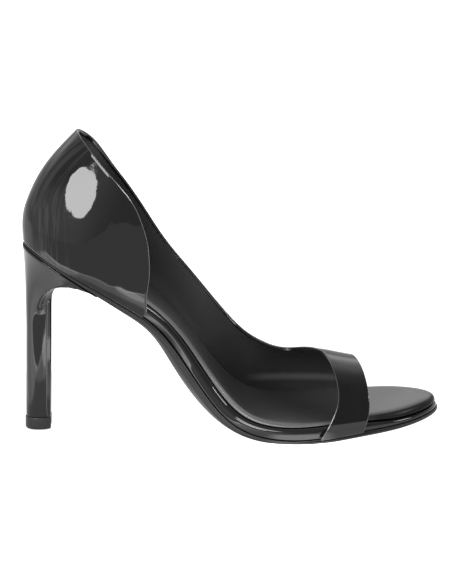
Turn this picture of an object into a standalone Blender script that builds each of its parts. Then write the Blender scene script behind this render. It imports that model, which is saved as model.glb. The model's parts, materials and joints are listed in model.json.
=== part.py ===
"""A left high-heeled pump with an open toe, cut away along its inner side.

Every size below is in millimetres; MM turns them into metres when a mesh is made.
X runs from the heel to the toe, Y to the outer side of the foot and Z up. The floor is Z = 0.
"""

import math
from collections import namedtuple

import bmesh
import bpy
import numpy as np
from mathutils import Matrix, Vector

MM = 0.001

# How far a plate's edge lies in from the upper's outside: along the upper, at the bare toe and
# along the open inner side. tuck is the share of RIM_TUCK that is taken in as well.
Inset = namedtuple("Inset", "along toe opened tuck", defaults=(0.0,))

# Driving sizes
TOE_TIP_X = 213.0  # length from the back of the heel seat to the toe tip
HEEL_CAP_LENGTH = 30.0  # length of the round end of the heel outline
TOE_CAP_LENGTH = 43.0  # length of the round end of the toe outline
TOE_POINT = 1.85  # 2 makes the toe an ellipse, less makes it more pointed
SEAT_TILT = math.radians(30.0)  # slope of the heel seat
GAP = 0.3  # clearance between pieces that meet
UPPER_WALL = 1.6
WALL_ROUND = (2.3, 2.1)  # powers of the arch that a section of the last makes; 2 is an ellipse
OUTSOLE_INSET = Inset(1.2, 0.3, 0.9)
OUTSOLE_GROOVE = Inset(1.1, 0.0, 0.0)  # depth of the groove between the upper and the outsole
GROOVE_HEIGHT = 0.75
CROWN_ROUND = 0.6  # less makes the waist's underside rounder close to its rim
INSOLE_INSET = Inset(2.4, 0.8, 1.3)
INSOLE_ROUND = 1.8  # how far in the rim's rounded top reaches
INSOLE_FOOT = 0.2  # bevel of the rim's lower corner
INSOLE_BORDER = 0.7  # width of the flat strip on top beside the rim
SOCK_INSET = Inset(4.4, 1.1, 3.3)
SOCK_TOP = 7.9  # height of the sock's top above the feather line
SOCK_ROUND = 4.5  # how far in the sock's soft edge reaches
OPEN_START = (62.0, 74.0)  # x where the rim moves out past the counter to the open inner side
OPEN_END = (136.0, 148.0)  # x where it moves in again, under the band
TOE_BARE = (172.0, 196.0)  # x where the sole's edge moves out past the band to the bare toe
HEEL_INSET = Inset(1.3, 1.3, 1.3)
HEEL_LIP = (0.8, 0.1)  # height of the heel's rim under the seat, at its back and at its tip
TOP_PIECE_HEIGHT = 6.5
TOP_PIECE_LIP = 0.35  # how far the top piece stands out past the heel
TOP_PIECE_BEVEL = (0.5, 0.3)  # its bevel at the floor and under the heel
SPINE = (14.0, 196.0)  # the line along the middle of the sole where its rings close

# How the meshes are spaced
SOLE_STATIONS = 46
WALL_ROWS = 14
QUARTER_COLUMNS = 46
COUNTER_COLUMNS = 20
BAND_COLUMNS = 8
STEM_LEVELS = 7
FLARE_LEVELS = 12
ROW_SPACING = 1.15  # 1 spaces the rows evenly, more draws them to the feather line
COLUMN_SPACING = 1.6  # more draws the columns to the back of the heel
THROAT_SPACING = 1.4  # more draws the columns to the throat as well
SLOPE_REACH = 0.5  # half of the length over which the sole's slope is taken
MERGE = 0.02  # corners closer than this are one

# Sections of the last, from the heel back to the toe tip. x is the foot of the section on the
# feather line, where upper and sole meet, and feather_z its height. tilt is the forward lean of
# the section in degrees. medial and lateral are the half-widths of the upper's outside there,
# before the round ends are taken off. ridge is the height of the last along the section, bulge
# how far the wall swells out above the feather line, and turn the height over which it does so.
LAST_COLUMNS = ("x", "feather_z", "tilt", "medial", "lateral", "ridge", "bulge", "turn")
LAST = (
    (0.0, 100.4, 30.0, 25.0, 25.0, 108.0, 3.5, 16.0),
    (30.0, 83.2, 30.0, 25.0, 25.5, 108.0, 3.5, 16.0),
    (56.0, 67.2, 30.0, 24.5, 25.5, 100.0, 3.0, 15.0),
    (70.0, 55.5, 28.0, 22.6, 25.3, 86.0, 2.4, 14.0),
    (85.0, 33.8, 23.0, 23.0, 26.6, 70.0, 2.2, 12.0),
    (100.0, 13.4, 15.0, 28.0, 30.0, 53.0, 2.0, 10.0),
    (115.0, 4.5, 9.0, 33.2, 33.3, 43.5, 2.0, 9.0),
    (132.0, 2.3, 4.0, 36.8, 35.6, 38.8, 2.0, 8.0),
    (150.0, 2.6, 0.0, 36.4, 35.0, 36.9, 2.0, 8.0),
    (170.0, 4.8, -3.0, 32.6, 31.6, 31.2, 2.0, 8.0),
    (190.0, 7.1, -5.0, 30.6, 28.4, 27.0, 2.0, 8.0),
    (213.0, 10.0, -6.0, 29.4, 25.4, 24.0, 2.0, 8.0),
)

# The heel's back curve: how far the counter swells backwards at a height above the seat.
BACK_COLUMNS = ("height", "swell")
BACK_CURVE = (
    (0.0, 0.0),
    (10.0, 5.6),
    (20.0, 7.9),
    (30.0, 8.7),
    (42.0, 7.8),
    (54.0, 5.2),
    (66.0, 1.8),
)

# The topline of the outer side: its height along each section. It ends on the ridge, at the throat.
THROAT_X = 154.0
TOPLINE = (
    (0.0, 61.8),
    (9.7, 58.7),
    (19.3, 52.7),
    (39.0, 40.8),
    (59.3, 29.6),
    (80.0, 29.0),
    (90.0, 32.6),
    (100.0, 36.0),
    (120.0, 35.6),
    (136.0, 33.8),
    (THROAT_X, 37.0),
)

# The counter's edge on the inner side, as x and height: along the top, then down its front.
COUNTER_TOP = (
    (0.0, 61.8),
    (9.7, 57.7),
    (19.3, 53.5),
    (34.9, 45.3),
    (46.1, 34.0),
)
COUNTER_FRONT = (
    (60.2, 0.0),
    (61.0, 1.8),
    (59.4, 6.1),
    (54.4, 19.0),
    (46.1, 34.0),
)

# The band over the toes: x of its edges at shares of the way from the inner feather line (0) over
# the ridge (1) to the outer feather line (2). The rear edge ends on the ridge, at the throat.
BAND_REAR = (
    (0.0, 150.0),
    (0.2, 156.3),
    (0.35, 159.4),
    (0.5, 159.6),
    (0.75, 157.4),
    (1.0, THROAT_X),
)
BAND_FRONT = (
    (0.0, 171.2),
    (0.2, 174.4),
    (0.35, 175.4),
    (0.5, 175.2),
    (0.75, 174.0),
    (1.0, 171.8),
    (1.5, 167.5),
    (2.0, 163.5),
)

# Outsole thickness at the rim.
OUTSOLE_EDGE = (
    (0.0, 1.6),
    (20.0, 1.8),
    (34.0, 2.7),
    (46.0, 3.3),
    (62.0, 3.1),
    (72.0, 3.2),
    (84.0, 3.5),
    (102.0, 3.2),
    (118.0, 2.3),
    (150.0, 2.2),
    (213.0, 1.9),
)
# The round of the outsole's lower corner: in from the rim, and up as a share of the thickness.
OUTSOLE_CORNER = (
    (0.0, 0.4),
    (0.3, 0.12),
    (1.1, 0.0),
)
# How much thicker the outsole's round waist is along its middle than at the rim.
OUTSOLE_CROWN = (
    (42.0, 0.0),
    (51.0, 2.2),
    (62.0, 3.1),
    (72.0, 3.6),
    (84.0, 4.9),
    (102.0, 3.2),
    (118.0, 0.7),
    (130.0, 0.0),
)
UNDER_SHARES = (0.12, 0.3, 0.6, 1.0)  # shares of the way to the spine of the rings underneath

# The insole's thickness by x. It thins out to the toe, where the sock rolls over it.
INSOLE_TOP = (
    (0.0, 5.8),
    (80.0, 5.8),
    (140.0, 5.8),
    (160.0, 5.4),
    (176.0, 3.8),
    (192.0, 2.5),
    (213.0, 2.1),
)
# How far the foot of the insole's rim is tucked in under its top along the open inner side, by x.
RIM_TUCK = (
    (60.0, 1.5),
    (70.0, 1.2),
    (79.5, 0.4),
    (90.0, 0.15),
    (150.0, 0.15),
)
# The insole's rim above its wall: in as a share of INSOLE_ROUND, and up as a share of its thickness.
INSOLE_EDGE = (
    (0.0, 0.52),
    (0.08, 0.7),
    (0.3, 0.88),
    (1.0, 1.0),
)
INSOLE_WALL = 0.4  # the share of its thickness where the rim's wall ends
# The sock's soft edge: in as a share of SOCK_ROUND, and up as a share of its thickness.
SOCK_EDGE = (
    (0.0, 0.2),
    (0.1, 0.55),
    (0.4, 0.85),
    (1.0, 1.0),
)

# The heel's stem: x of its back and of its breast, and its half-width, at a height.
STEM_COLUMNS = ("z", "back", "breast", "half")
STEM = (
    (0.0, -0.2, 12.5, 6.2),
    (24.0, 0.3, 13.2, 6.05),
    (44.0, 0.7, 13.8, 6.0),
    (66.0, 1.3, 14.3, 6.5),
)

# Half of the heel's ring, from the middle of its back round to the middle of its breast. depth is
# the share of the way from back to breast and half the share of the half-width, on the stem.
# seat_x and seat_half are where the same corner ends under the seat, and front is how far its path
# turns forward there, from 0 straight up to 1 along the sole.
RingCorner = namedtuple("RingCorner", "depth half seat_x seat_half front")
RING = (
    RingCorner(0.0, 0.0, 1.3, 0.0, 0.0),
    RingCorner(0.025, 0.309, 2.0, 1.0, 0.0),
    RingCorner(0.096, 0.588, 4.2, 1.0, 0.02),
    RingCorner(0.206, 0.809, 8.0, 1.0, 0.06),
    RingCorner(0.345, 0.951, 13.5, 1.0, 0.14),
    RingCorner(0.5, 1.0, 20.0, 1.0, 0.28),
    RingCorner(0.68, 0.985, 28.0, 1.0, 0.55),
    RingCorner(0.84, 0.93, 39.0, 1.0, 1.0),
    RingCorner(1.0, 0.68, 40.0, 0.92, 1.0),
    RingCorner(0.98, 0.35, 40.0, 0.5, 1.0),
    RingCorner(0.97, 0.0, 40.0, 0.0, 1.0),
)
BREAST_CORNERS = 3  # corners of the half ring that lie on the breast
# The flare from stem to seat, each as a pair for the back and for the breast: the height where it
# starts, and the length over which its curve keeps the direction of the stem and of the rim.
FLARE_START = (54.0, 66.5)
STEM_PULL = (18.0, 12.0)
RIM_PULL = (12.0, 19.0)
RIM_ARRIVE = (-0.1, 0.45, 0.88)  # the direction in which the back and the sides reach the rim


def natural_spline(rows, column=1):
    """A smooth curve through one column of a table over its first, unbent at the two ends."""
    table = np.array(rows, float)
    knots = table[:, 0]
    values = table[:, column]
    step = np.diff(knots)
    slope = np.diff(values) / step
    count = len(knots)
    system = np.eye(count)
    right = np.zeros(count)
    for row in range(1, count - 1):
        system[row, row - 1] = step[row - 1]
        system[row, row] = 2 * (step[row - 1] + step[row])
        system[row, row + 1] = step[row]
        right[row] = 6 * (slope[row] - slope[row - 1])
    bend = np.linalg.solve(system, right)

    def curve(at):
        cell = int(np.clip(np.searchsorted(knots, at) - 1, 0, count - 2))
        width = step[cell]
        left = at - knots[cell]
        rest = knots[cell + 1] - at
        cubic = (bend[cell] * rest**3 + bend[cell + 1] * left**3) / (6 * width)
        start = (values[cell] / width - bend[cell] * width / 6) * rest
        end = (values[cell + 1] / width - bend[cell + 1] * width / 6) * left
        return float(cubic + start + end)

    return curve


def columns(names, rows):
    """One smooth function for each named column of a table."""
    return {name: natural_spline(rows, n) for n, name in enumerate(names) if n}


last = columns(LAST_COLUMNS, LAST)
back_swell = columns(BACK_COLUMNS, BACK_CURVE)["swell"]
outsole_edge = natural_spline(OUTSOLE_EDGE)
outsole_crown = natural_spline(OUTSOLE_CROWN)
insole_top = natural_spline(INSOLE_TOP)
rim_tuck = natural_spline(RIM_TUCK)
stem = columns(STEM_COLUMNS, STEM)
band_rear = natural_spline(BAND_REAR)
band_front = natural_spline(BAND_FRONT)


def mix(pair, share):
    """A value between the two of a pair."""
    return pair[0] + (pair[1] - pair[0]) * share


def ease(x, span):
    """Climbs softly from 0 at the start of a span to 1 at its end."""
    share = min(max((x - span[0]) / (span[1] - span[0]), 0), 1)
    return share * share * (3 - 2 * share)


def share_of(x, height):
    """Where a height lies on its section: 0 on the feather line, 1 on the ridge."""
    return math.asin(min(height / last["ridge"](x), 1.0)) * 2 / math.pi


top_share = natural_spline([(x, share_of(x, height)) for x, height in TOPLINE])


def half_width(x, side):
    """The half-width of the upper's outside at x, before the round ends are taken off."""
    return last["medial" if side < 0 else "lateral"](x)


def inset_at(x, side, inset):
    """How far an inset lies in from the upper's outside at x."""
    opened = ease(x, OPEN_START) * (1 - ease(x, OPEN_END)) if side < 0 else 0.0
    beside = mix((inset.along, inset.opened), opened) + inset.tuck * opened * rim_tuck(x)
    return mix((beside, inset.toe), ease(x, TOE_BARE))


def round_ends(x, start, end):
    """The share of the full half-width that the round heel and toe leave at x."""
    heel = min(max((HEEL_CAP_LENGTH - x) / (HEEL_CAP_LENGTH - start), 0), 1)
    toe_start = TOE_TIP_X - TOE_CAP_LENGTH
    toe = min(max((x - toe_start) / (end - toe_start), 0), 1)
    return math.sqrt(1 - heel**2) * (1 - toe**TOE_POINT) ** (1 / TOE_POINT)


def outline(x, side, inset):
    """The half-width of the sole's plan at x, moved in from the upper's outside."""
    full = half_width(x, side) - inset_at(x, side, inset)
    return full * round_ends(x, inset.along, TOE_TIP_X - inset.toe)


def wall_point(x, share, side):
    """A point on the outside of the upper, on the section that stands at x."""
    rise = math.sin(share * math.pi / 2)
    height = last["ridge"](x) * rise
    arch = (1 - rise ** WALL_ROUND[0]) ** (1 / WALL_ROUND[1])
    under = 1 - min(height / last["turn"](x), 1.0)
    swell = last["bulge"](x) * (1 - under**2) * (1 - rise)
    width = (half_width(x, side) + swell) * arch * round_ends(x, 0.0, TOE_TIP_X)
    lean = math.radians(last["tilt"](x))
    back = back_swell(height) * max(1 - x / HEEL_CAP_LENGTH, 0.0)
    return (
        x + height * math.sin(lean) - back * math.cos(SEAT_TILT),
        side * width,
        last["feather_z"](x) + height * math.cos(lean) + back * math.sin(SEAT_TILT),
    )


def sole_point(x, y, height):
    """A point at a distance from the feather line's surface, square to it."""
    rise = last["feather_z"](x + SLOPE_REACH) - last["feather_z"](x - SLOPE_REACH)
    slope = rise / (2 * SLOPE_REACH)
    length = math.hypot(slope, 1)
    return (x - height * slope / length, y, last["feather_z"](x) + height / length)


def merge(bm):
    bmesh.ops.remove_doubles(bm, verts=bm.verts, dist=MERGE)


def add_object(name, bm, colour, roughness):
    """A named object with its own material, made from a mesh in millimetres."""
    for vert in bm.verts:
        vert.co *= MM
    mesh = bpy.data.meshes.new(name)
    bm.to_mesh(mesh)
    bm.free()
    item = bpy.data.objects.new(name, mesh)
    bpy.context.collection.objects.link(item)
    material = bpy.data.materials.new(name)
    material.use_nodes = True
    shader = material.node_tree.nodes["Principled BSDF"]
    shader.inputs["Base Color"].default_value = (*colour, 1)
    shader.inputs["Roughness"].default_value = roughness
    mesh.materials.append(material)
    return item


def add_grid(bm, grid, flip):
    """Faces between neighbouring points of a grid of rows."""
    rows = [[bm.verts.new(point) for point in row] for row in grid]
    for low, high in zip(rows, rows[1:]):
        for n in range(len(low) - 1):
            corners = [low[n], low[n + 1], high[n + 1], high[n]]
            bm.faces.new(corners[::-1] if flip else corners)


def add_loft(bm, rings):
    """Closed rings joined one to the next."""
    made = [[bm.verts.new(point) for point in ring] for ring in rings]
    for low, high in zip(made, made[1:]):
        for n in range(len(low)):
            after = (n + 1) % len(low)
            bm.faces.new([low[n], low[after], high[after], high[n]])
    return made


def add_upper():
    """Counter, outer quarter and toe band in one shell, open below, at the throat and the toe."""
    bm = bmesh.new()
    climb = [(row / WALL_ROWS) ** ROW_SPACING for row in range(WALL_ROWS + 1)]

    quarter = []
    for share in climb:
        row = []
        for column in range(QUARTER_COLUMNS + 1):
            run = (column / QUARTER_COLUMNS) ** COLUMN_SPACING
            x = THROAT_X * (1 - (1 - run) ** THROAT_SPACING)
            row.append(wall_point(x, share * top_share(x), 1))
        quarter.append(row)
    add_grid(bm, quarter, True)

    top = natural_spline([(x, share_of(x, height)) for x, height in COUNTER_TOP])
    front = natural_spline([(height / COUNTER_FRONT[-1][1], x) for x, height in COUNTER_FRONT])
    corner_x, corner_height = COUNTER_FRONT[-1]
    front_foot = COUNTER_FRONT[0][0]
    corner = share_of(corner_x, corner_height)
    counter = []
    for rise in climb:
        row = []
        front_x = front(rise)
        front_share = share_of(front_x, rise * corner_height)
        straight_x = mix((front_foot, corner_x), rise)
        for column in range(COUNTER_COLUMNS + 1):
            along = column / COUNTER_COLUMNS
            run = along**COLUMN_SPACING
            x = run * straight_x + along * (front_x - straight_x)
            share = rise * top(run * corner_x) + along * (front_share - rise * corner)
            row.append(wall_point(x, share, -1))
        counter.append(row)
    add_grid(bm, counter, False)

    inner = []
    outer = []
    for rise in climb:
        inner_row = []
        outer_row = []
        for column in range(BAND_COLUMNS + 1):
            across = column / BAND_COLUMNS
            inner_x = mix((band_rear(rise), band_front(rise)), across)
            inner_row.append(wall_point(inner_x, rise, -1))
            outer_x = mix((THROAT_X, band_front(2 - rise)), across)
            outer_row.append(wall_point(outer_x, rise, 1))
        inner.append(inner_row)
        outer.append(outer_row)
    add_grid(bm, inner, False)
    add_grid(bm, outer, True)

    merge(bm)
    item = add_object("upper", bm, (0.01, 0.01, 0.011), 0.1)
    wall = item.modifiers.new("wall", "SOLIDIFY")
    wall.thickness = UPPER_WALL * MM
    wall.offset = -1
    wall.use_even_offset = True
    return item


def plan_loop(inset, share):
    """The sole's outline moved in by an inset, and by a share of the way to its spine."""
    loop = []
    for side in (-1, 1):
        numbers = range(SOLE_STATIONS) if side < 0 else range(SOLE_STATIONS, 0, -1)
        for number in numbers:
            along = (1 - math.cos(math.pi * number / SOLE_STATIONS)) / 2
            x = mix((inset.along, TOE_TIP_X - inset.toe), along)
            y = side * outline(x, side, inset)
            loop.append((mix((x, mix(SPINE, along)), share), y * (1 - share)))
    return loop


def add_plate(name, rings, colour, roughness):
    """A closed plate from rings: inset, share of the way to the spine, and a height function."""
    bm = bmesh.new()
    made = []
    for inset, share, height in rings:
        made.append([sole_point(x, y, height(x, share)) for x, y in plan_loop(inset, share)])
    add_loft(bm, made)
    merge(bm)
    for vert in bm.verts:
        vert.co.z = max(vert.co.z, 0.0)
    bmesh.ops.recalc_face_normals(bm, faces=bm.faces)
    return add_object(name, bm, colour, roughness)


def moved(inset, more):
    """An inset moved further in."""
    return Inset(inset.along + more, inset.toe + more, inset.opened + more, inset.tuck)


def flat(height):
    return lambda x, share: height


def add_outsole():
    """The thin sole: flat under the ball, round under the waist, up to the heel seat."""

    def under(up):
        def height(x, share):
            waist = OUTSOLE_CROWN[0][0] < x < OUTSOLE_CROWN[-1][0]
            crown = max(outsole_crown(x), 0.0) if waist else 0.0
            round_up = math.sin(share * math.pi / 2) ** CROWN_ROUND
            return -GAP - outsole_edge(x) * (1 - up) - crown * round_up

        return height

    groove = Inset(*(edge + cut for edge, cut in zip(OUTSOLE_INSET, OUTSOLE_GROOVE)))
    top = [(groove, share, flat(-GAP)) for share in (1.0, 0.5, 0.0)]
    top.append((groove, 0.0, flat(-GAP - GROOVE_HEIGHT)))
    top.append((OUTSOLE_INSET, 0.0, flat(-GAP - GROOVE_HEIGHT)))
    corner = [(moved(OUTSOLE_INSET, into), 0.0, under(up)) for into, up in OUTSOLE_CORNER]
    into, up = OUTSOLE_CORNER[-1]
    bottom = [(moved(OUTSOLE_INSET, into), share, under(up)) for share in UNDER_SHARES]
    return add_plate("outsole", top + corner + bottom, (0.012, 0.012, 0.012), 0.45)


def add_insole():
    """The covered board the upper is lasted to, with its rim in the open on the inner side."""

    def up_to(up):
        return lambda x, share: up * insole_top(x)

    tucked = INSOLE_INSET._replace(tuck=1.0)
    nearly = INSOLE_INSET._replace(tuck=1 - INSOLE_WALL / INSOLE_EDGE[0][1])
    foot = moved(tucked, INSOLE_FOOT)
    bottom = [(foot, share, flat(0.0)) for share in (1.0, 0.5, 0.0)]
    wall = [(tucked, 0.0, flat(INSOLE_FOOT)), (nearly, 0.0, up_to(INSOLE_WALL))]
    edge = []
    for into, up in INSOLE_EDGE:
        edge.append((moved(INSOLE_INSET, into * INSOLE_ROUND), 0.0, up_to(up)))
    border = moved(INSOLE_INSET, INSOLE_ROUND + INSOLE_BORDER)
    top = [(border, share, up_to(1.0)) for share in (0.0, 0.5, 1.0)]
    return add_plate("insole", bottom + wall + edge + top, (0.01, 0.01, 0.011), 0.12)


def add_sock():
    """The leather sock glued on the insole, with a soft edge."""

    def up_to(up):
        return lambda x, share: mix((insole_top(x) + GAP, SOCK_TOP), up)

    bottom = [(SOCK_INSET, share, up_to(0.0)) for share in (1.0, 0.5, 0.0)]
    edge = []
    for into, up in SOCK_EDGE:
        edge.append((moved(SOCK_INSET, into * SOCK_ROUND), 0.0, up_to(up)))
    inset, _, height = edge[-1]
    top = [(inset, share, height) for share in (0.4, 1.0)]
    return add_plate("sock", bottom + edge + top, (0.015, 0.015, 0.016), 0.35)


def stem_point(corner, side, z, grow):
    """A corner of the heel's stem at a height; grow moves it out from the stem's middle."""
    x = mix((stem["back"](z) - grow, stem["breast"](z) + grow), corner.depth)
    return np.array([x, side * corner.half * (stem["half"](z) + grow), z])


def seat_point(corner, side, height):
    """Where a corner of the heel ends under the seat."""
    y = side * corner.seat_half * outline(corner.seat_x, side, HEEL_INSET)
    return np.array(sole_point(corner.seat_x, y, height))


def heel_path(corner, side):
    """One corner of the heel, from the top piece up the stem and out to its rim under the seat."""
    front = corner.front
    low = TOP_PIECE_HEIGHT + GAP
    high = mix(FLARE_START, front)
    path = []
    for level in range(STEM_LEVELS):
        z = mix((low, high), level / STEM_LEVELS)
        path.append(stem_point(corner, side, z, 0.0))
    seat_gap = -2 * GAP - outsole_edge(corner.seat_x)
    rim = seat_point(corner, side, seat_gap - mix(HEEL_LIP, front))
    start = stem_point(corner, side, high, 0.0)
    spread = side * corner.half * corner.seat_half
    upward = np.array([RIM_ARRIVE[0], RIM_ARRIVE[1] * spread, RIM_ARRIVE[2]])
    forward = np.array([math.cos(SEAT_TILT), 0.0, -math.sin(SEAT_TILT)])
    arrive = mix((upward, forward), front)
    arrive = arrive / np.linalg.norm(arrive)
    first = start + np.array([0.0, 0.0, mix(STEM_PULL, front)])
    second = rim - arrive * mix(RIM_PULL, front)
    for level in range(FLARE_LEVELS + 1):
        t = level / FLARE_LEVELS
        point = (1 - t) ** 3 * start + 3 * t * (1 - t) ** 2 * first
        point = point + 3 * t**2 * (1 - t) * second + t**3 * rim
        path.append(point)
    path.append(seat_point(corner, side, seat_gap))
    return path


def add_ring_block(name, paths, colour, roughness):
    """A solid lofted through the ring's corner paths, closed at both ends."""
    bm = bmesh.new()
    levels = zip(*paths)
    made = add_loft(bm, [[tuple(point) for point in level] for level in levels])
    half = len(RING) - 1
    for ring in (made[0], made[-1]):
        for n in range(half - BREAST_CORNERS):
            inner = [ring[n], ring[n + 1]]
            outer = [ring[-n - 1], ring[-n] if n else ring[0]]
            bm.faces.new(list(dict.fromkeys(inner + outer)))
        bm.faces.new(ring[half - BREAST_CORNERS : half + BREAST_CORNERS + 1])
    merge(bm)
    bmesh.ops.recalc_face_normals(bm, faces=bm.faces)
    return add_object(name, bm, colour, roughness)


def both_sides(path):
    """The ring's corners in order: the inner half, then the outer half back again."""
    inner = [path(corner, -1) for corner in RING]
    outer = [path(corner, 1) for corner in RING[-2:0:-1]]
    return inner + outer


def add_heel():
    """The covered heel: a slim stem that flares to the seat, with an arched breast."""
    return add_ring_block("heel", both_sides(heel_path), (0.01, 0.01, 0.011), 0.1)


def add_top_piece():
    """The block under the heel that meets the floor."""
    foot, head = TOP_PIECE_BEVEL

    def path(corner, side):
        levels = (
            (0.0, TOP_PIECE_LIP - foot),
            (foot, TOP_PIECE_LIP),
            (TOP_PIECE_HEIGHT - head, TOP_PIECE_LIP),
            (TOP_PIECE_HEIGHT, TOP_PIECE_LIP - head),
        )
        return [stem_point(corner, side, z, grow) for z, grow in levels]

    return add_ring_block("heel_top_piece", both_sides(path), (0.012, 0.012, 0.012), 0.4)


def centre_on_floor(items):
    """Moves every mesh so that the shoe's box stands on the floor, centred on the origin."""
    graph = bpy.context.evaluated_depsgraph_get()
    points = []
    for item in items:
        points += [vert.co.copy() for vert in item.evaluated_get(graph).data.vertices]
    low = [min(point[axis] for point in points) for axis in range(3)]
    high = [max(point[axis] for point in points) for axis in range(3)]
    middle = Vector((-(low[0] + high[0]) / 2, -(low[1] + high[1]) / 2, -low[2]))
    for item in items:
        item.data.transform(Matrix.Translation(middle))


for existing in list(bpy.data.objects):
    bpy.data.objects.remove(existing, do_unlink=True)

pieces = [add_upper(), add_outsole(), add_insole(), add_sock(), add_heel(), add_top_piece()]
centre_on_floor(pieces)
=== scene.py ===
# %% [markdown]
# # A patent pump with an open toe
# The imported solids give the true shape and place of each piece. This lesson dresses them one at a
# time: it copies a solid, smooths the copy, adds the folds and edges that the solid leaves out,
# and gives it a finish. The first cell loads the fixed frame.

# %% Load the frame
import json
import math

import bpy
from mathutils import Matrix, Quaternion, Vector

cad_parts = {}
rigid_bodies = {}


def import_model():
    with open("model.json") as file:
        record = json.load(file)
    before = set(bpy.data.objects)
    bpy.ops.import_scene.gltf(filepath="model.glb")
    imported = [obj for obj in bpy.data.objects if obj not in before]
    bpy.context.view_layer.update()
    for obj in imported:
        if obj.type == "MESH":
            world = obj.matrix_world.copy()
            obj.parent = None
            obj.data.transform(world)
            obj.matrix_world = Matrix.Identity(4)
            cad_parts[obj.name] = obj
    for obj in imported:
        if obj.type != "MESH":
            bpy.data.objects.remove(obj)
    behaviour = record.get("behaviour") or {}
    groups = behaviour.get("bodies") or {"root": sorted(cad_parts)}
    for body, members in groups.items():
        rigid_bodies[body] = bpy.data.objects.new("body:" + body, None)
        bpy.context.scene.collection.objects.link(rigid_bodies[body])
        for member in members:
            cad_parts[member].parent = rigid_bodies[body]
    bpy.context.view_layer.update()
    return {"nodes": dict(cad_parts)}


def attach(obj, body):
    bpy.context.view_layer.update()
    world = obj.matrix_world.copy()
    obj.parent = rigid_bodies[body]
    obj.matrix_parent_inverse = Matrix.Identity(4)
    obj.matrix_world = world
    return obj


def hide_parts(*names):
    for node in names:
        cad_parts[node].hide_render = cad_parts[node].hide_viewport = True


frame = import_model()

MM = 0.001

# %% [markdown]
# ## Copying a solid
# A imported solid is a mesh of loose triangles. Merging its doubles sews them together, and turning
# triangles to quads brings back the even grid, which the subdivision surface needs to stay smooth
# under a mirror finish. A high topology influence makes Blender prefer regular rows of quads.

# %% Helpers for copies and selection
MERGE = 0.001 * MM
QUAD_ANGLES = {"face_threshold": math.radians(60), "shape_threshold": math.radians(120)}


def only(piece):
    """Selects one object and nothing else."""
    bpy.ops.object.select_all(action="DESELECT")
    piece.select_set(True)
    bpy.context.view_layer.objects.active = piece


def edit(piece, select="SELECT", mode="FACE"):
    """Opens a piece in edit mode with all or none of it selected."""
    only(piece)
    bpy.ops.object.mode_set(mode="EDIT")
    bpy.ops.mesh.select_mode(type=mode)
    bpy.ops.mesh.select_all(action=select)


def done():
    """Goes back to object mode."""
    bpy.ops.object.mode_set(mode="OBJECT")


def double(source, name):
    """A copy of an object with a mesh of its own."""
    only(source)
    bpy.ops.object.duplicate()
    piece = bpy.context.active_object
    piece.name = piece.data.name = name
    return piece


def copy_of(node, name):
    """A merged copy of a solid's mesh, free of the frame."""
    piece = double(frame["nodes"][node], name)
    piece.parent = None
    for key in [key for key in piece.keys() if key.startswith("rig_")]:
        del piece[key]
    piece.data.materials.clear()
    edit(piece)
    bpy.ops.mesh.remove_doubles(threshold=MERGE)
    bpy.ops.mesh.customdata_custom_splitnormals_clear()
    done()
    return piece


def to_quads(piece):
    """Joins the triangles of a merged copy into the quads of its grid."""
    edit(piece)
    bpy.ops.mesh.tris_convert_to_quads(**QUAD_ANGLES, topology_influence=2.0)
    done()


# %% [markdown]
# ## Modifiers, creases and the last touches
# Most pieces end the same way: a modifier is added and applied, the shading is smoothed across
# everything but true corners, and the piece is hung on the shoe. A subdivision surface pulls sharp
# corners in, so an edge that has to stay where it is gets a crease first.

# %% Helpers for modifiers and finishing
SHADE_ANGLE = math.radians(40)


def apply(piece, kind, **settings):
    """Adds one modifier with these settings and applies it."""
    only(piece)
    modifier = piece.modifiers.new(kind.lower(), kind)
    for key, value in settings.items():
        setattr(modifier, key, value)
    bpy.ops.object.modifier_apply(modifier=modifier.name)


def smooth(piece, levels, **settings):
    """Subdivides a piece this many times into a smooth surface."""
    apply(piece, "SUBSURF", levels=levels, render_levels=levels, **settings)


def crease(piece, angle, strength):
    """Keeps the edges that turn by more than an angle in degrees from being smoothed away."""
    edit(piece, "DESELECT", "EDGE")
    bpy.ops.mesh.edges_select_sharp(sharpness=math.radians(angle))
    bpy.ops.transform.edge_crease(value=strength)
    done()


def finish(piece, slot, *nodes):
    """Shades a piece, rides it on the shoe and hides the solids that it stands for."""
    only(piece)
    bpy.ops.object.shade_smooth_by_angle(angle=SHADE_ANGLE)
    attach(piece, "root")
    if nodes:
        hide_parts(*nodes)
    print(piece.name, len(piece.data.polygons), "faces")


# %% [markdown]
# ## The upper's sheet
# The real upper is one skin of patent leather over a thin lining. The solid has an outside, an
# inside and edges, parted by sharp corners. Marking those corners as seams lets Blender pick the
# outside alone, and that sheet is the start of the skin, the lining and the folded edges.

# %% Part the outside from the solid
CORNER = math.radians(50)  # an edge that turns further than this is a corner
TO_CORNERS = {"boundary_smooth": "PRESERVE_CORNERS"}

sheet = copy_of("upper", "upper_sheet")
edit(sheet, "DESELECT", "EDGE")
bpy.ops.mesh.edges_select_sharp(sharpness=CORNER)
bpy.ops.mesh.mark_seam()
bpy.ops.mesh.select_mode(type="FACE")
bpy.ops.mesh.select_all(action="DESELECT")
done()
max(sheet.data.polygons, key=lambda face: face.center.y).select = True
bpy.ops.object.mode_set(mode="EDIT")
bpy.ops.mesh.select_linked(delimit={"SEAM"})
bpy.ops.mesh.select_all(action="INVERT")
bpy.ops.mesh.delete(type="FACE")
bpy.ops.mesh.select_all(action="SELECT")
bpy.ops.mesh.mark_seam(clear=True)
done()
to_quads(sheet)
print("sheet", len(sheet.data.polygons), "faces")

# %% [markdown]
# ## The patent skin
# Patent leather is pulled over the last wet and never dries quite flat: slow waves of a few
# hundredths of a millimetre bend every reflection in it. They are too broad to leave to a bump, so a
# cloud texture moves the mesh itself. Then the sheet gets its thickness and its edges are rounded,
# as the maker turns and hammers them.

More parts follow.
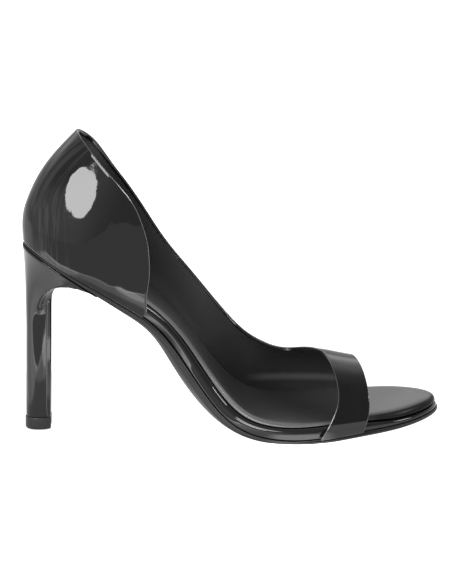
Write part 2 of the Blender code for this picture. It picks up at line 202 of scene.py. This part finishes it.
# %% Skin
SKIN = 1.25 * MM
WAVE_LENGTH = 6 * MM
WAVE_HEIGHT = 0.06 * MM
SKIN_LEVELS = 2
FOLD_ROUND = 0.55 * MM

waves = bpy.data.textures.new("patent_waves", "CLOUDS")
waves.noise_scale = WAVE_LENGTH
waves.noise_depth = 0

skin = double(sheet, "upper_patent")
smooth(skin, SKIN_LEVELS, **TO_CORNERS)
apply(skin, "DISPLACE", texture=waves, texture_coords="LOCAL", strength=WAVE_HEIGHT, mid_level=0.5)
apply(skin, "SOLIDIFY", thickness=SKIN, offset=-1, use_even_offset=True)
apply(skin, "BEVEL", width=FOLD_ROUND, segments=4, limit_method="ANGLE", angle_limit=CORNER)
finish(skin, "upper", "upper")

# %% [markdown]
# ## The rolled edges
# A patent edge is thinned, folded over a tape and hammered, which leaves a small round roll along
# every border of the upper. It draws the fine line of light around the counter and the band, helped
# by a painted highlight in its paler finish.
# The border of the sheet, left alone as a wire and turned into a curve, takes a round profile.

# %% Rolled edges
ROLL = 0.36 * MM
ROLL_DEPTH = 0.5 * MM
BORDER = {"use_wire": False, "use_multi_face": False, "use_non_contiguous": False, "use_verts": False}


def roll_border(piece, depth, radius):
    """Keeps only the border of a sheet and makes it round, at this depth under the sheet."""
    apply(piece, "DISPLACE", strength=-depth, mid_level=0)
    edit(piece, "DESELECT", "EDGE")
    bpy.ops.mesh.select_non_manifold(**BORDER)
    bpy.ops.mesh.select_all(action="INVERT")
    bpy.ops.mesh.delete(type="EDGE")
    done()
    bpy.ops.object.convert(target="CURVE")
    piece.data.bevel_depth = radius
    piece.data.bevel_resolution = 2
    bpy.ops.object.convert(target="MESH")


roll = double(sheet, "upper_rolled_edge")
smooth(roll, SKIN_LEVELS, **TO_CORNERS)
roll_border(roll, ROLL_DEPTH, ROLL)
finish(roll, "upper")

# %% [markdown]
# ## The lining and the turned edge
# Inside, the patent is turned over the edge for about two millimetres and the lining is glued in
# below it. Both come from the same sheet after one smoothing: its outermost ring of faces becomes
# the turned edge, and the rest the lining, each moved inwards to where it lies in the wall. The
# lining's own edge is turned too, and its small roll is the second line inside the topline.

# %% Lining and turned edge
LINING_DEPTH = 1.2 * MM
LINING = 0.4 * MM
LINING_ROLL = 0.24 * MM
TURNED = 0.6 * MM
TURNED_ROUND = 0.2 * MM

smooth(sheet, 1, **TO_CORNERS)
turned = double(sheet, "upper_turned_edge")
lining = sheet
lining.name = lining.data.name = "upper_lining"
for piece, keep_border, thickness in ((turned, True, TURNED), (lining, False, LINING)):
    edit(piece, "DESELECT", "VERT")
    bpy.ops.mesh.select_non_manifold(**BORDER)
    bpy.ops.mesh.select_more()
    bpy.ops.mesh.select_mode(type="FACE")
    if keep_border:
        bpy.ops.mesh.select_all(action="INVERT")
    bpy.ops.mesh.delete(type="FACE")
    done()
    smooth(piece, 1, **TO_CORNERS)
    if not keep_border:
        lining_edge = double(piece, "upper_lining_edge")
    apply(piece, "DISPLACE", strength=-LINING_DEPTH, mid_level=0)
    apply(piece, "SOLIDIFY", thickness=thickness, offset=-1, use_even_offset=True)
apply(turned, "BEVEL", width=TURNED_ROUND, segments=2, limit_method="ANGLE", angle_limit=CORNER)
roll_border(lining_edge, LINING_DEPTH + LINING, LINING_ROLL)
for piece in (turned, lining, lining_edge):
    finish(piece, "upper")

# %% [markdown]
# ## The insole
# The insole is a moulded board, so the solid already holds its shape. It is wrapped in patent and has
# soft corners, which the subdivision surface rounds by itself. The helper here also takes creases,
# which the harder pieces below need.

# %% Insole
BOARD_LEVELS = 2


def dress(node, name, *creases):
    """A smoothed copy of a solid, with these pairs of corner angle and crease strength."""
    piece = copy_of(node, name)
    to_quads(piece)
    for angle, strength in creases:
        crease(piece, angle, strength)
    smooth(piece, BOARD_LEVELS)
    return piece


finish(dress("insole", "insole_cover"), "insole", "insole")

# %% [markdown]
# ## The sock
# The sock is a soft leather glued over the insole. Its top sinks a little towards the edge, more than
# a solid of flat facets shows. A Smooth modifier that moves points only up and down, and only those
# on the top, lets the edge pull its neighbours down while the outline stays where it is.

# %% Sock
DOME_ROUNDS = 150
DOME_FACTOR = 0.5

sock = dress("sock", "sock_leather")
top = sock.vertex_groups.new(name="top")
top.add([point.index for point in sock.data.vertices if point.normal.z > 0], 1.0, "REPLACE")
up_and_down = {"use_x": False, "use_y": False}
apply(sock, "SMOOTH", vertex_group="top", factor=DOME_FACTOR, iterations=DOME_ROUNDS, **up_and_down)
finish(sock, "sock", "sock")

# %% [markdown]
# ## The outsole and the heel
# The outsole is cut from a hard board, so its outer corners get full creases to stay where they are.
# The heel is a moulded core wrapped in patent: its rims get full creases and the two softer corners
# of its breast half creases. At the top it runs forward in a wing under the waist. The real wing is
# shaved until it meets the outsole with no step, so its lower side is lifted towards the tip.

# %% Outsole, heel and top piece
BOARD_CREASES = ((60.0, 1.0),)  # pairs of the least angle in degrees and the strength
HEEL_CREASES = ((22.0, 0.45), (65.0, 1.0))
WING_START = -80 * MM
WING_TIP = -68 * MM
WING_LIFT = 0.8 * MM

outsole = dress("outsole", "outsole_board", *BOARD_CREASES)
heel = dress("heel", "heel_cover", *HEEL_CREASES)
for point in heel.data.vertices:
    if point.normal.z < 0:
        share = max(0.0, (point.co.x - WING_START) / (WING_TIP - WING_START))
        point.co.z += WING_LIFT * min(share, 1.0) ** 2
top_piece = dress("heel_top_piece", "top_piece", *HEEL_CREASES)
for piece in (outsole, heel, top_piece):
    print(piece.name, len(piece.data.polygons), "faces before its corners are rounded")

# %% [markdown]
# ## The flap down the breast
# The covering of a slim heel is closed by a thin flap that comes from under the arch and runs down
# the breast to the top piece. Its edge is the fine line beside the front of the heel. The flap
# starts as a fresh copy of the heel, and only the faces that look forward and down are kept: those
# are the breast, its two softer corners and the arch, but not the cut end above the top piece, nor
# the thin front end of the heel's wing.

# %% Breast flap
FLAP = 0.15 * MM
FLAP_ROLL = 0.17 * MM
FORWARD_AND_DOWN = Vector((0.8, 0.0, -0.6))
LOOKS_FORWARD = 0.42
STEM_END = 8 * MM
WING_END = -72 * MM

flap = copy_of("heel", "heel_breast_flap")
to_quads(flap)
edit(flap, "DESELECT")
done()
for face in flap.data.polygons:
    looks_forward = face.normal.dot(FORWARD_AND_DOWN) > LOOKS_FORWARD
    face.select = not (looks_forward and face.center.z > STEM_END and face.center.x < WING_END)
bpy.ops.object.mode_set(mode="EDIT")
bpy.ops.mesh.delete(type="FACE")
done()
crease(flap, *HEEL_CREASES[0])
smooth(flap, BOARD_LEVELS)
flap_edge = double(flap, "heel_flap_edge")
roll_border(flap_edge, -FLAP / 2, FLAP_ROLL)
finish(flap_edge, "heel")
apply(flap, "SOLIDIFY", thickness=FLAP, offset=1, use_even_offset=True)
finish(flap, "heel")

# %% [markdown]
# ## Breaking the corners
# No cut corner is quite sharp. A narrow bevel on the corners that the creases kept gives each of them
# a thin line of light. It comes last, because the flap was fitted to the heel without it.

# %% Rounded corners
CORNER_ROUND = 0.2 * MM

for piece, node in ((outsole, "outsole"), (heel, "heel"), (top_piece, "heel_top_piece")):
    apply(piece, "BEVEL", width=CORNER_ROUND, segments=2, limit_method="ANGLE", angle_limit=CORNER)
    finish(piece, node, node)

# %% [markdown]
# ## Writing shader maths
# A finish is a small sum of patterns. Wrapping a socket in a class with Python's operators lets a
# sum such as 1 - mask read as it would on paper, and each operator adds one Math node. Every other
# node comes from one method, which sets the node up first and then fills its sockets.

# %% Sums of sockets
class Value:
    """One socket of a node tree, which takes part in Python sums."""

    def __init__(self, tree, socket):
        self.tree = tree
        self.socket = socket

    def sum(self, operation, *terms):
        return self.tree.node("Math", {"operation": operation}, dict(enumerate(terms)))

    def __add__(self, other):
        return self.sum("ADD", self, other)

    def __sub__(self, other):
        return self.sum("SUBTRACT", self, other)

    def __rsub__(self, other):
        return self.sum("SUBTRACT", other, self)

    def __mul__(self, other):
        return self.sum("MULTIPLY", self, other)

    __radd__ = __add__
    __rmul__ = __mul__


# %% [markdown]
# ## Nodes for a finish
# The same few nodes come back in every finish: the place on the piece, one of its axes, a soft ramp,
# cloudy noise, the way a surface faces, and a bump. Each gets a short method here, so a finish reads
# as a recipe. Places are in Object coordinates, so that a pattern stays on its piece.

# %% Node trees
class Finish:
    """The node tree of a material or of the studio's world."""

    def __init__(self, owner):
        owner.use_nodes = True
        self.owner = owner
        self.nodes = owner.node_tree.nodes
        self.links = owner.node_tree.links

    def fill(self, socket, value):
        """Links a value to a socket, or sets a number or a colour on it."""
        if isinstance(value, Value):
            self.links.new(value.socket, socket)
        elif hasattr(value, "__len__") and len(socket.default_value) > len(value):
            socket.default_value = (*value, 1.0)
        else:
            socket.default_value = value

    def node(self, kind, settings=None, sockets=None, output=0):
        """Adds a node by its type, sets it up, fills its sockets and returns one output."""
        made = self.nodes.new("ShaderNode" + kind)
        for key, value in (settings or {}).items():
            setattr(made, key, value)
        for key, value in (sockets or {}).items():
            self.fill(made.inputs[key], value)
        return Value(self, made.outputs[output])

    def shader(self, **sockets):
        """Fills the material's shader, with spaces for the underscores of the names."""
        principled = self.nodes["Principled BSDF"]
        for key, value in sockets.items():
            self.fill(principled.inputs[key.replace("_", " ")], value)

    def place(self):
        return self.node("TexCoord", output="Object")

    def axis(self, vector, name):
        return self.node("SeparateXYZ", None, {0: vector}, output=name)

    def ramp(self, value, start, end, low=0.0, high=1.0):
        """Eases from low to high while a value goes from start to end."""
        sockets = {0: value, 1: start, 2: end, 3: low, 4: high}
        return self.node("MapRange", {"interpolation_type": "SMOOTHSTEP"}, sockets)

    def noise(self, size, detail=2.0, place=None):
        """Soft cloudy noise with features of about this size in metres."""
        place = place or self.place()
        return self.node("TexNoise", None, {"Vector": place, "Scale": 1 / size, "Detail": detail})

    def facing(self, name):
        """How much the surface faces along one axis, from -1 to 1."""
        return self.axis(self.node("NewGeometry", output="Normal"), name)

    def bump(self, height, depth, under=None):
        """A normal pressed by a height between 0 and 1, this many metres deep."""
        sockets = {"Strength": 1.0, "Distance": depth, "Height": height}
        if under:
            sockets["Normal"] = under
        return self.node("Bump", None, sockets)

    def tint(self, colour, tone):
        """A colour made lighter or darker by a value."""
        return self.node("VectorMath", {"operation": "SCALE"}, {0: colour, "Scale": tone})


def material(name):
    return Finish(bpy.data.materials.new(name))


# %% [markdown]
# ## Streaks in the counter
# Where the leather is pulled down over the back of the last, fine streaks run with the pull. They are
# noise in a space of its own: it leans forward as the shoe's back does, and it is squeezed upwards so
# that every cloud in it becomes a long line. They are pressed in all over, but show as a paler tone
# only near the back.

# %% Pulled streaks
BACK_LEAN = 20.0  # how fast the shoe's back leans forward above the seat
BACK_FOOT = 0.117  # height where that lean starts
BACK_ZONE = (-0.078, -0.09)  # where the streaks fade in, towards the back
STREAK_WIDTH = 1.5 * MM
STREAK_STRETCH = 20.0  # how long a streak is for its width
STREAK_WRAP = 0.3  # how much the pattern changes from side to side
STREAK_FADE = (0.4, 0.65)  # noise below the first is no streak, above the second a full one


def pull_streaks(look):
    """Fine long lines all over the upper, and how strongly they show in its colour."""
    place = look.place()
    along, across, high = (look.axis(place, name) for name in "XYZ")
    rise = high.sum("MAXIMUM", high - BACK_FOOT, 0.0)
    lean = along - BACK_LEAN * rise * rise
    sockets = {0: lean, 1: across * STREAK_WRAP, 2: high * (1 / STREAK_STRETCH)}
    lines = look.noise(STREAK_WIDTH, 2.0, look.node("CombineXYZ", None, sockets))
    return lines, look.ramp(lines, *STREAK_FADE) * look.ramp(lean, *BACK_ZONE)


# %% [markdown]
# ## The patent finish
# Patent leather is leather under a clear, glassy coat. Its colour hardly shows: what the eye reads
# is the studio in the coat. The coat is never quite flat, so a slow ripple and a finer peel bend
# the reflections, and faint smudges change how sharp they are. The rolled edges are hammered by the
# maker, so they are rougher than the rest; their paler colour is a painted highlight on the folds.

# %% Patent
SMUDGE_SIZE, SMUDGE_ROUGH = 24 * MM, 0.03
RIPPLE_SIZE = 7 * MM
PEEL_SIZE, PEEL_DEPTH = 1.8 * MM, 0.004 * MM
STREAK_DEPTH, STREAK_TONE = 0.008 * MM, 0.011
BLUE_CAST = 1.05  # black patent is a little blue


def patent(name, ripple, black=0.004, rough=0.02, shine=0.36, streaked=False):
    look = material(name)
    colour = (black, black, BLUE_CAST * black)
    smudge = look.noise(SMUDGE_SIZE, 3.0)
    slow = look.noise(RIPPLE_SIZE, 1.0)
    peel = look.noise(PEEL_SIZE, 2.0)
    normal = look.bump(slow, ripple)
    normal = look.bump(peel, PEEL_DEPTH, normal)
    if streaked:
        lines, shown = pull_streaks(look)
        normal = look.bump(lines, STREAK_DEPTH, normal)
        colour = look.tint(colour, 0.5 + (STREAK_TONE / black) * shown)
    look.shader(
        Base_Color=colour,
        Roughness=rough + SMUDGE_ROUGH * smudge,
        Specular_IOR_Level=shine,
        Normal=normal,
    )
    print("made", name)
    return look.owner


upper_patent = patent("black_patent", 0.012 * MM, streaked=True)
rim_patent = patent("black_patent_rim", 0.008 * MM)
heel_patent = patent("black_patent_heel", 0.005 * MM)
# the rolled edges' paler base colour is a painted highlight, the line of light along each fold
roll_patent_painted_highlight = patent("black_patent_roll", 0.005 * MM, black=0.03, rough=0.2, shine=0.7)

# %% [markdown]
# ## The dull finishes
# The lining is a thin leather with open pores, the sock a smooth one, the outsole a hard pressed
# board and the top piece a satin plastic. They differ in roughness and in the size of the grain, so
# one recipe serves all four. It also takes two masks: painted light and shade that make a piece's
# tone paler or darker, and where it is polished.

# %% Dull recipe
CLOUD_SIZE, CLOUD_ROUGH = 16 * MM, 0.12
GRAIN_SHARE = 0.6  # how much of the bump comes from each of the two grains


def dull(name, colour, rough, grain, depth, shine, painted_tone=None, polish=None):
    look = material(name)
    cells = look.node("TexVoronoi", {"feature": "F1"}, {"Vector": look.place(), "Scale": 1 / grain})
    cloud = look.noise(CLOUD_SIZE, 3.0)
    fine = look.noise(grain * 2.0, 3.0)
    normal = look.bump(cells * GRAIN_SHARE + fine * GRAIN_SHARE, depth)
    tone = 0.75 + 0.25 * cloud
    # painted light and shade: a mask that makes the tone paler or darker
    if painted_tone:
        tone = tone + painted_tone(look)
    look.shader(
        Base_Color=look.tint(colour, tone),
        Roughness=rough - CLOUD_ROUGH / 2 + CLOUD_ROUGH * cloud,
        Specular_IOR_Level=shine,
        Normal=normal,
    )
    if polish:
        look.shader(Coat_Weight=polish(look), Coat_Roughness=rough)
    print("made", name)
    return look.owner


# %% [markdown]
# ## Painted light on the lining and the sock
# The lining gets a paler low band on the outer side of the forefoot, and the sock a paler soft edge
# on the open side: both are painted light. The sock's top is polished. Around the toe it turns down,
# and there it stays dull and is painted darker, a painted shade.

# %% Painted light and polished places
LIGHT_BAND_HEIGHTS = ((0.0125, 0.0155), (0.019, 0.016))  # heights where the painted light band starts and ends
LIGHT_BAND_FROM = (0.005, 0.02)  # how far along the shoe it starts
TOE_FROM = (0.06, 0.075)
TURNED_DOWN = (0.96, 0.8)
OPEN_UNTIL = (0.075, 0.05)
FACES_OPEN_SIDE = (-0.12, -0.5)


def lining_painted_light_band(look):
    """Paler in a low band along the outer side of the forefoot: a painted light band where the wall
    catches light.
    """
    place = look.place()
    along, high = look.axis(place, "X"), look.axis(place, "Z")
    # painted light: a paler band low on the wall, standing in for light caught there
    band = look.ramp(high, *LIGHT_BAND_HEIGHTS[0]) * look.ramp(high, *LIGHT_BAND_HEIGHTS[1])
    return 1.5 * band * look.ramp(along, *LIGHT_BAND_FROM)


def toe_edge(look):
    """1 where the sock turns down around the toe, and 0 on its top and behind the band."""
    along = look.axis(look.place(), "X")
    return look.ramp(along, *TOE_FROM) * look.ramp(look.facing("Z"), *TURNED_DOWN)


def sock_painted_sheen_and_shade(look):
    """Paler along the soft edge of the open side, a painted reflection, and darker at the toe, a
    painted shade.
    """
    along = look.axis(look.place(), "X")
    # painted reflection: paler on the soft edge that faces the open side
    open_side = look.ramp(look.facing("Y"), *FACES_OPEN_SIDE) * look.ramp(along, *OPEN_UNTIL)
    # painted shade: darker where the sock turns down around the toe
    return 1.8 * open_side - 0.6 * toe_edge(look)


def polished_sock(look):
    """Polished all over its top, and left dull where it turns down around the toe."""
    return 0.75 * (1 - toe_edge(look))


# %% [markdown]
# ## Mixing the dull finishes
# With the recipe and the masks in hand, each dull finish is one line: its colour, how rough it is,
# the size and depth of its grain, and how much it shines.

# %% Lining, sock, outsole and top piece
LEATHER_BLACK = (0.024, 0.024, 0.0245)
BOARD_BLACK = (0.008, 0.008, 0.008)
SATIN_BLACK = (0.014, 0.014, 0.014)

lining_leather = dull("lining_leather", LEATHER_BLACK, 0.38, 0.5 * MM, 0.01 * MM, 0.28, lining_painted_light_band)
sock_leather = dull(
    "sock_leather", LEATHER_BLACK, 0.32, 0.4 * MM, 0.005 * MM, 0.08, sock_painted_sheen_and_shade, polished_sock
)
sole_board = dull("sole_board", BOARD_BLACK, 0.48, 0.6 * MM, 0.004 * MM, 0.3)
satin = dull("top_piece_satin", SATIN_BLACK, 0.42, 0.3 * MM, 0.006 * MM, 0.3)

# %% [markdown]
# ## Giving each piece its finish
# Everything that the maker covers in patent gets one of the four patents: the big skin, the rims, the
# heel, and the rolled edges, paler as a painted highlight. The lining, the sock, the outsole and the
# top piece get the dull ones.

# %% Finishes on pieces
for name, look in (
    ("upper_patent", upper_patent),
    ("upper_turned_edge", rim_patent),
    ("upper_rolled_edge", roll_patent_painted_highlight),
    ("upper_lining_edge", roll_patent_painted_highlight),
    ("heel_breast_flap", heel_patent),
    ("heel_flap_edge", roll_patent_painted_highlight),
    ("insole_cover", rim_patent),
    ("heel_cover", heel_patent),
    ("upper_lining", lining_leather),
    ("sock_leather", sock_leather),
    ("outsole_board", sole_board),
    ("top_piece", satin),
):
    bpy.data.objects[name].data.materials.append(look)
    print(name, "is finished in", look.name)

# %% [markdown]
# ## Camera
# The photograph looks at the open inner side from a little above and almost square on. A long lens
# keeps the shoe's lines straight. The numbers come from lining the solids up with the picture.

# %% Camera
camera_data = bpy.data.cameras.new("camera")
camera = bpy.data.objects.new("camera", camera_data)
bpy.context.scene.collection.objects.link(camera)
camera.location = (-39.96 * MM, -1057.28 * MM, 340.47 * MM)
camera.rotation_euler = (math.radians(75.7), 0.0, math.radians(-2.0))
camera_data.sensor_width = 36.0
camera_data.lens = 131.9
bpy.context.scene.camera = camera
print("camera at", [round(part, 3) for part in camera.location], "lens", round(camera_data.lens, 1))

# %% [markdown]
# ## Floor
# A black mirror shows its surroundings more than itself, so the studio is built with care. The floor
# glows by itself and takes no shadow, like a lit table. It lies a hair under the shoe, so that the two
# never share a plane.

# %% Floor
FLOOR_SIZE = 8.0
FLOOR_DROP = 0.05 * MM

bpy.ops.object.select_all(action="DESELECT")
bpy.ops.mesh.primitive_plane_add(size=FLOOR_SIZE, location=(0.0, 0.0, -FLOOR_DROP))
floor = bpy.context.active_object
floor.name = "floor"
white = material("white_floor")
spot = white.place()
across, deep = white.axis(spot, "X"), white.axis(spot, "Y")
print("floor", FLOOR_SIZE, "m wide")

# %% [markdown]
# ## The pool of light
# The floor is brightest in a pool in front of the shoe, which lights the lower edge of the counter.
# The pool's front edge bends beside the heel and has a brighter lip. The pool is dimmer close by the
# heel, in a lane that the heel's side mirrors, and towards the toe. Two round glows, by the ball and
# by the waist, light the rim.

# %% Shape of the pool
# The pool, its lip and the two glows are painted light in the floor's glow; the shade and the lane by
# the heel are painted shadow.
EDGE_BEND = -0.12  # x where the pool's front edge bends
POOL_EDGE = (-0.126, -0.1, -0.5)  # its y there, its slope, and what the bend adds to that slope
POOL_START = (-0.36, -0.3)  # x where the pool fades in on the left
HEEL_SHADE = (-0.15, -0.045)  # x of the two sides of the shade by the heel
SHADE_DEPTH = (-0.098, 0.1)  # y of the front and the back of that shade
HEEL_LANE = (-0.132, -0.078)  # x of the two sides of a dimmer lane through the pool
SOFT = 0.008  # half the width of a soft edge on the floor
CRISP = 0.002  # the same for the pool's front edge
BALL_GLOW = (0.033, -0.047, 0.0)  # the middle of the glow beside the ball
RIM_GLOW = (-0.058, -0.14, 0.0)  # the middle of the glow beside the waist


def between(value, low, high):
    """1 between two bounds and 0 outside them, with soft edges."""
    return white.ramp(value, low - SOFT, low + SOFT) * white.ramp(value, high + SOFT, high - SOFT)


past = across - EDGE_BEND
edge = POOL_EDGE[0] + past * POOL_EDGE[1] + past.sum("MAXIMUM", past, 0.0) * POOL_EDGE[2]
inside = deep - edge
shade = between(across, *HEEL_SHADE) * between(deep, *SHADE_DEPTH)
lane = between(across, *HEEL_LANE)
to_ball, to_rim = (
    white.node("VectorMath", {"operation": "DISTANCE"}, {0: spot, 1: place}, output="Value")
    for place in (BALL_GLOW, RIM_GLOW)
)
print("pool from x", POOL_START[0], "with its bend at", EDGE_BEND)

# %% [markdown]
# ## How bright the floor is
# The plain floor is just white. The pool adds more light the further it lies in front of the shoe,
# and what the shade, the lane and the toe take away is a share of that. The numbers were found by
# comparing the tones on the patent with the photograph.

# %% Floor light
FLOOR_LIGHT = 1.02
POOL_REACH, POOL_LIGHT = (0.0, -0.07), (0.9, 2.3)  # y near and far, and the light added there
LIP_REACH, LIP_LIGHT = (0.014, 0.008), 1.8  # how far the lip reaches into the pool
TOE_REACH, TOE_SHARE = (-0.035, 0.005), (1.0, 0.4)  # x where the pool dims towards the toe
SHADE_LOSS, LANE_LOSS = 0.85, 0.4
BALL_REACH, BALL_LIGHT = (0.024, 0.012), 4.0
RIM_REACH, RIM_LIGHT = (0.03, 0.018), 3.0

glow = white.ramp(deep, *POOL_REACH, *POOL_LIGHT) + LIP_LIGHT * white.ramp(inside, *LIP_REACH)
pool = white.ramp(inside, -CRISP, CRISP) * white.ramp(across, *POOL_START) * glow
pool = pool * (1 - SHADE_LOSS * shade) * (1 - LANE_LOSS * lane)
pool = pool * white.ramp(across, *TOE_REACH, *TOE_SHARE)
pool = pool + BALL_LIGHT * white.ramp(to_ball, *BALL_REACH) + RIM_LIGHT * white.ramp(to_rim, *RIM_REACH)
white.shader(
    Base_Color=(0.0, 0.0, 0.0),
    Roughness=1.0,
    Specular_IOR_Level=0.0,
    Emission_Strength=1.0,
    Emission_Color=FLOOR_LIGHT + pool,
)
floor.data.materials.append(white.owner)
print("floor light from", FLOOR_LIGHT)

# %% [markdown]
# ## Walls
# The walls of the studio are the world's background. They are palest low on the left in front and
# high behind the shoe, and darkest on the right in front, and each of those shows as a soft tone
# somewhere on the patent.

# %% World
WALL_LIGHT = 0.6
LEFT_LOW_LIGHT = 0.65
LEFT_BACK_LIGHT = 0.15
BEHIND_LIGHT = 1.4
RIGHT_LOSS = 0.25

world = bpy.data.worlds.new("studio")
bpy.context.scene.world = world
sky = Finish(world)
direction = sky.node("TexCoord", output="Generated")
right, back, up = (sky.axis(direction, name) for name in "XYZ")
left = sky.ramp(right, 0.1, -0.45)
front = sky.ramp(back, 0.3, -0.2)
low = sky.ramp(up, 0.5, 0.25)
right_front = sky.ramp(right, 0.1, 0.5) * front
high_behind = sky.ramp(back, 0.2, 0.6) * sky.ramp(up, 0.27, 0.5) * sky.ramp(up, 0.45, 0.7, 1.0, 0.5)
pale = WALL_LIGHT - RIGHT_LOSS * right_front + LEFT_LOW_LIGHT * left * low * front
pale = pale + LEFT_BACK_LIGHT * left * (1 - front) + BEHIND_LIGHT * high_behind
sky.fill(sky.nodes["Background"].inputs["Color"], pale)
bpy.context.scene.view_settings.view_transform = "Standard"
print("walls with", len(sky.nodes), "nodes")

# %% [markdown]
# ## Softboxes
# The bright window on the counter is an oval softbox to the left of the camera, and the thin streak
# beside it is a second, narrow one above. A strip on the right draws the white line along the rim's
# upper edge. Each is placed by the angles at which the counter sees it, and its power follows from
# how bright its face should be.

# %% Lights
LOOK_AT = Vector((-0.05, -0.02, 0.11))
LIGHT_DISTANCE = 1.2


def softbox(name, shape, azimuth, elevation, roll, wide, high, radiance):
    """A flat light that faces the shoe, seen from the counter at these angles."""
    light = bpy.data.lights.new(name, "AREA")
    light.shape = shape
    light.size = wide
    light.size_y = high
    area = wide * high * (math.pi / 4 if shape == "ELLIPSE" else 1.0)
    light.energy = radiance * math.pi * area
    lamp = bpy.data.objects.new(name, light)
    bpy.context.scene.collection.objects.link(lamp)
    a, e = math.radians(azimuth), math.radians(elevation)
    toward = Vector((math.sin(a) * math.cos(e), -math.cos(a) * math.cos(e), math.sin(e)))
    lamp.location = LOOK_AT + LIGHT_DISTANCE * toward
    turn = toward.to_track_quat("Z", "Y") @ Quaternion((0.0, 0.0, 1.0), math.radians(roll))
    lamp.rotation_euler = turn.to_euler()
    print(name, "stands at", [round(part, 2) for part in lamp.location])


softbox("key", "ELLIPSE", -33.8, 19.0, -31.0, 0.85, 0.278, 16.5)
softbox("key_top", "RECTANGLE", -23.4, 31.6, -36.0, 0.69, 0.27, 15.0)
softbox("rim_strip", "RECTANGLE", 68.0, 36.0, 0.0, 0.4, 0.3, 22.0)
